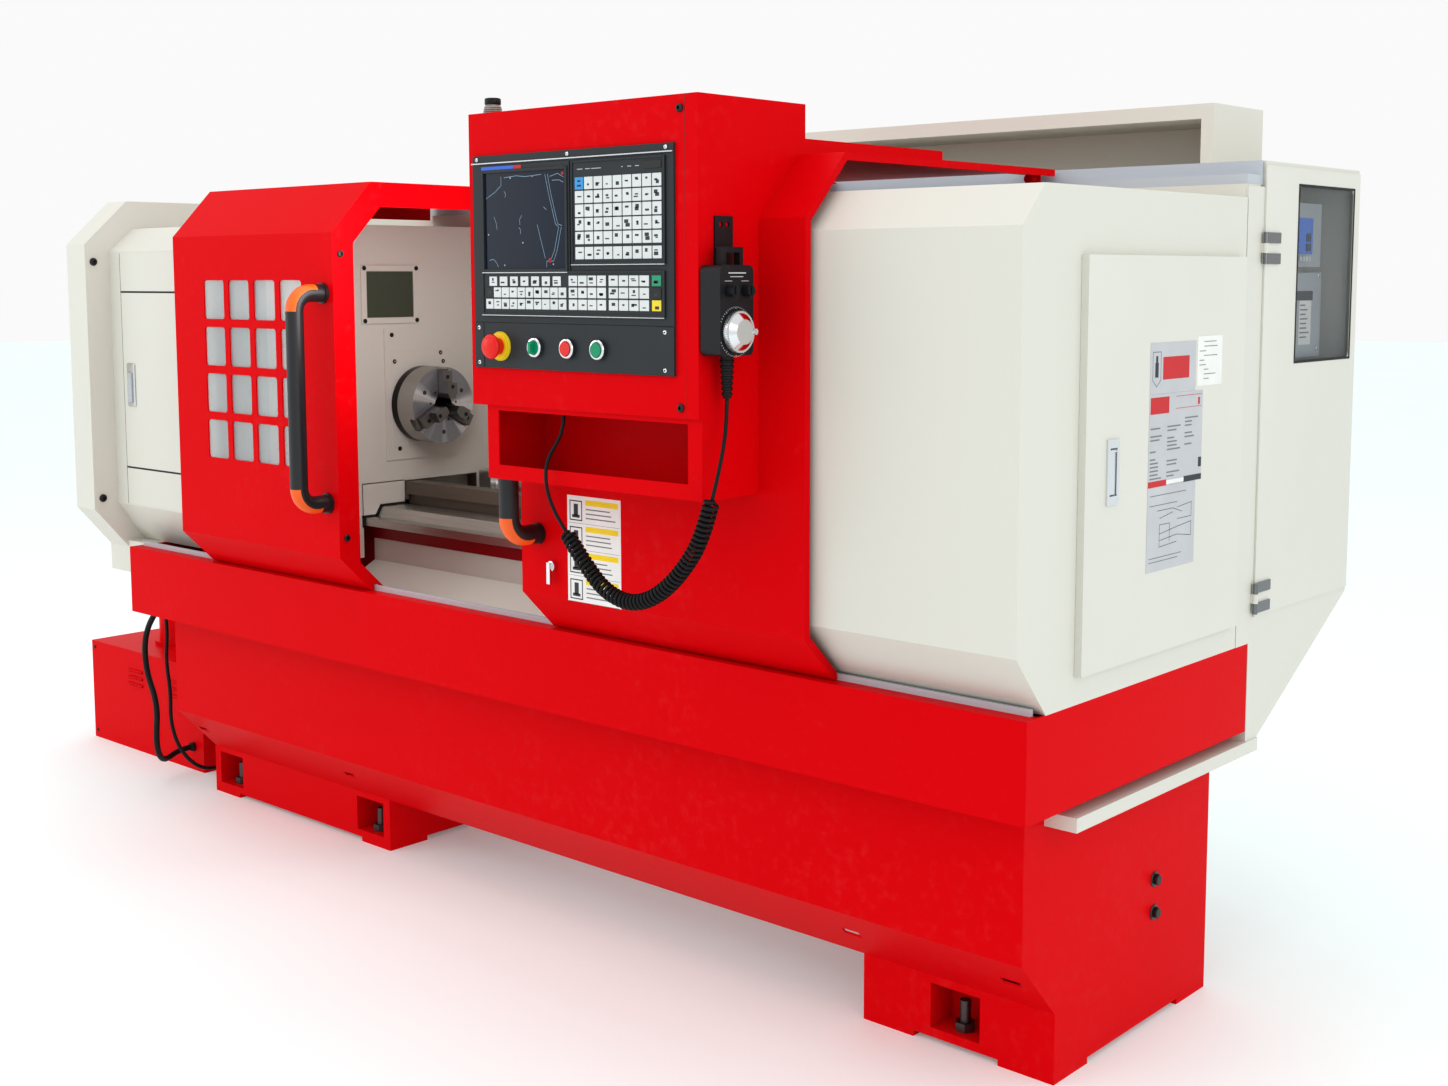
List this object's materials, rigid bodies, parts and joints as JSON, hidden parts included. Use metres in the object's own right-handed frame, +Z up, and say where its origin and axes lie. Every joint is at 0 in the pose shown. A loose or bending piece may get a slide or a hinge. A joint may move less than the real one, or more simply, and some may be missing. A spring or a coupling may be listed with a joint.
{
  "type": "cnc turning lathe",
  "caption": "Enclosed flat-bed turning lathe with sliding doors, a control box on the right door, a handwheel pendant, a rear cabinet and a free-standing coolant tank",
  "frame": {"origin": "centre of the bounding box on the floor, leaving out the free cords", "axes": "+X along the bed from headstock to tailstock, -Y towards the operator, +Z up"},
  "size_m": [3.0486, 1.316, 1.522],
  "materials": {
    "red_paint": "satin powder coat, bright red",
    "cream_paint": "satin powder coat, warm cream",
    "grey_rail": "light grey satin paint",
    "cast_way": "ground and oiled ways",
    "head_cast": "painted casting",
    "steel": "turned and ground steel",
    "dark_steel": "blackened, worn bright on its edges",
    "chrome": "polished",
    "zinc_box": "grey drive housings",
    "black_grip": "moulded, fine grain",
    "panel_grey": "dark grey anodised plate",
    "screen_glass": "dark display glass",
    "clear_pane": "clear polycarbonate",
    "stop_red": "gloss",
    "cap_red": "gloss, translucent",
    "cap_green": "gloss, translucent",
    "lamp_plastic": "smoked lens, black foot",
    "pendant_black": "textured case",
    "wheel_silver": "turned",
    "cable_black": "matt",
    "belt_rubber": "ribbed"
  },
  "bodies": {
    "frame": {"left_pedestal": "red_paint", "right_pedestal": "red_paint", "levelling_bolts": "dark_steel", "front_skirt": "red_paint", "chip_tray": "red_paint", "chip_chute": "cream_paint", "bed_casting": "cast_way", "headstock_casting": "head_cast", "headstock_cover": "cream_paint", "gear_end_cover": "cream_paint", "spindle_motor": "head_cast", "drive_belt": "belt_rubber", "rear_splash_guard": "cream_paint", "door_rails": "grey_rail", "rear_cabinet": "cream_paint", "drive_units": "zinc_box", "top_box": "cream_paint", "tail_guard": "cream_paint", "coolant_tank": "red_paint", "coolant_pump": "red_paint", "coolant_hose": "cable_black", "pump_cable": "cable_black"},
    "spindle": {"spindle": "steel", "chuck_body": "steel"},
    "chuck_jaw_1": {"chuck_jaw_1": "dark_steel"},
    "chuck_jaw_2": {"chuck_jaw_2": "dark_steel"},
    "chuck_jaw_3": {"chuck_jaw_3": "dark_steel"},
    "motor_pulley": {"motor_pulley": "steel"},
    "z_screw": {"z_screw": "steel"},
    "carriage": {"carriage": "cast_way"},
    "cross_slide": {"cross_slide": "cast_way"},
    "tool_turret": {"tool_turret": "dark_steel"},
    "tailstock": {"tailstock": "head_cast"},
    "quill": {"quill": "steel"},
    "tailstock_wheel": {"tailstock_wheel": "steel"},
    "left_door": {"left_door": "red_paint", "left_glazing": "clear_pane", "left_handle": "black_grip"},
    "right_door": {"right_door": "red_paint", "right_handle": "black_grip", "control_box": "red_paint", "control_panel": "panel_grey", "screen": "screen_glass", "signal_lamp": "lamp_plastic", "mpg_body": "pendant_black", "mpg_lead": "cable_black", "curly_cord": "cable_black", "box_lead": "cable_black"},
    "door_lock": {"door_lock": "chrome"},
    "emergency_stop": {"emergency_stop": "stop_red"},
    "red_button": {"red_button": "cap_red"},
    "green_button": {"green_button": "cap_green"},
    "green_selector": {"green_selector": "cap_green"},
    "mpg_wheel": {"mpg_wheel": "wheel_silver"},
    "mpg_knob_1": {"mpg_knob_1": "pendant_black"},
    "mpg_knob_2": {"mpg_knob_2": "pendant_black"},
    "tail_door": {"tail_door": "cream_paint"},
    "tail_latch": {"tail_latch": "chrome"},
    "cabinet_door": {"cabinet_door": "cream_paint", "cabinet_window": "clear_pane"}
  },
  "joints": [
    {"name": "left_door_slide", "type": "slide", "parent": "frame", "child": "left_door", "axis": [1, 0, 0], "range_m": [-0.38, 0.262]},
    {"name": "right_door_slide", "type": "slide", "parent": "frame", "child": "right_door", "axis": [1, 0, 0], "range_m": [-0.263, 0.33]},
    {"name": "spindle_spin", "type": "hinge", "parent": "frame", "child": "spindle", "pos_m": [-0.6, -0.015, 0.939], "axis": [1, 0, 0], "continuous": true},
    {"name": "motor_spin", "type": "hinge", "parent": "frame", "child": "motor_pulley", "pos_m": [-1, 0.36, 0.61], "axis": [1, 0, 0], "continuous": true},
    {"name": "jaw_1_slide", "type": "slide", "parent": "spindle", "child": "chuck_jaw_1", "axis": [0, 0, 1], "range_m": [-0.006, 0.004]},
    {"name": "jaw_2_slide", "type": "slide", "parent": "spindle", "child": "chuck_jaw_2", "axis": [0, -0.866, -0.5], "range_m": [-0.006, 0.004]},
    {"name": "jaw_3_slide", "type": "slide", "parent": "spindle", "child": "chuck_jaw_3", "axis": [0, 0.866, -0.5], "range_m": [-0.006, 0.004]},
    {"name": "carriage_slide", "type": "slide", "parent": "frame", "child": "carriage", "axis": [1, 0, 0], "range_m": [-0.56, 0]},
    {"name": "z_screw_spin", "type": "hinge", "parent": "frame", "child": "z_screw", "pos_m": [0.5, 0.174, 0.74], "axis": [1, 0, 0], "continuous": true},
    {"name": "cross_slide_slide", "type": "slide", "parent": "carriage", "child": "cross_slide", "axis": [0, 1, 0], "range_m": [-0.09, 0.05]},
    {"name": "turret_index", "type": "hinge", "parent": "cross_slide", "child": "tool_turret", "pos_m": [0.75, -0.15, 0.9], "axis": [0, 0, 1], "range_deg": [0, 270]},
    {"name": "tailstock_slide", "type": "slide", "parent": "frame", "child": "tailstock", "axis": [1, 0, 0], "range_m": [-0.12, 0.03]},
    {"name": "quill_slide", "type": "slide", "parent": "tailstock", "child": "quill", "axis": [1, 0, 0], "range_m": [-0.08, 0]},
    {"name": "tailstock_wheel_spin", "type": "hinge", "parent": "tailstock", "child": "tailstock_wheel", "pos_m": [1.38, -0.015, 0.939], "axis": [1, 0, 0], "continuous": true},
    {"name": "door_lock_turn", "type": "hinge", "parent": "right_door", "child": "door_lock", "pos_m": [0.606, -0.49, 0.733], "axis": [0, 1, 0], "range_deg": [0, 90]},
    {"name": "emergency_stop_press", "type": "slide", "parent": "right_door", "child": "emergency_stop", "axis": [0, 1, 0], "range_m": [0, 0.003], "stiffness_N_per_m": 800},
    {"name": "red_button_press", "type": "slide", "parent": "right_door", "child": "red_button", "axis": [0, 1, 0], "range_m": [0, 0.003], "stiffness_N_per_m": 500},
    {"name": "green_button_press", "type": "slide", "parent": "right_door", "child": "green_button", "axis": [0, 1, 0], "range_m": [0, 0.003], "stiffness_N_per_m": 500},
    {"name": "green_selector_turn", "type": "hinge", "parent": "right_door", "child": "green_selector", "pos_m": [0.722, -0.6274, 1.111], "axis": [0, 1, 0], "range_deg": [-45, 45]},
    {"name": "mpg_wheel_spin", "type": "hinge", "parent": "right_door", "child": "mpg_wheel", "pos_m": [1.11, -0.588, 1.142], "axis": [1, 0, 0], "continuous": true},
    {"name": "mpg_knob_1_turn", "type": "hinge", "parent": "right_door", "child": "mpg_knob_1", "pos_m": [1.11, -0.602, 1.201], "axis": [1, 0, 0], "range_deg": [-60, 60]},
    {"name": "mpg_knob_2_turn", "type": "hinge", "parent": "right_door", "child": "mpg_knob_2", "pos_m": [1.11, -0.567, 1.201], "axis": [1, 0, 0], "range_deg": [-60, 60]},
    {"name": "tail_door_swing", "type": "hinge", "parent": "frame", "child": "tail_door", "pos_m": [1.5148, 0.189, 0.95], "axis": [0, 0, 1], "range_deg": [0, 90]},
    {"name": "tail_latch_pull", "type": "hinge", "parent": "tail_door", "child": "tail_latch", "pos_m": [1.5203, -0.239, 0.969], "axis": [0, 1, 0], "range_deg": [-30, 0], "stiffness_Nm_per_rad": 0.05},
    {"name": "cabinet_door_swing", "type": "hinge", "parent": "frame", "child": "cabinet_door", "pos_m": [1.5158, 0.262, 1], "axis": [0, 0, 1], "range_deg": [-90, 0]}
  ],
  "couplings": [
    {"joint": "motor_spin", "follows": "spindle_spin", "ratio": 1.5517},
    {"joint": "jaw_2_slide", "follows": "jaw_1_slide", "ratio": 1},
    {"joint": "jaw_3_slide", "follows": "jaw_1_slide", "ratio": 1},
    {"joint": "z_screw_spin", "follows": "carriage_slide", "rad_per_m": 785.4},
    {"joint": "tailstock_wheel_spin", "follows": "quill_slide", "rad_per_m": -1256.6}
  ]
}
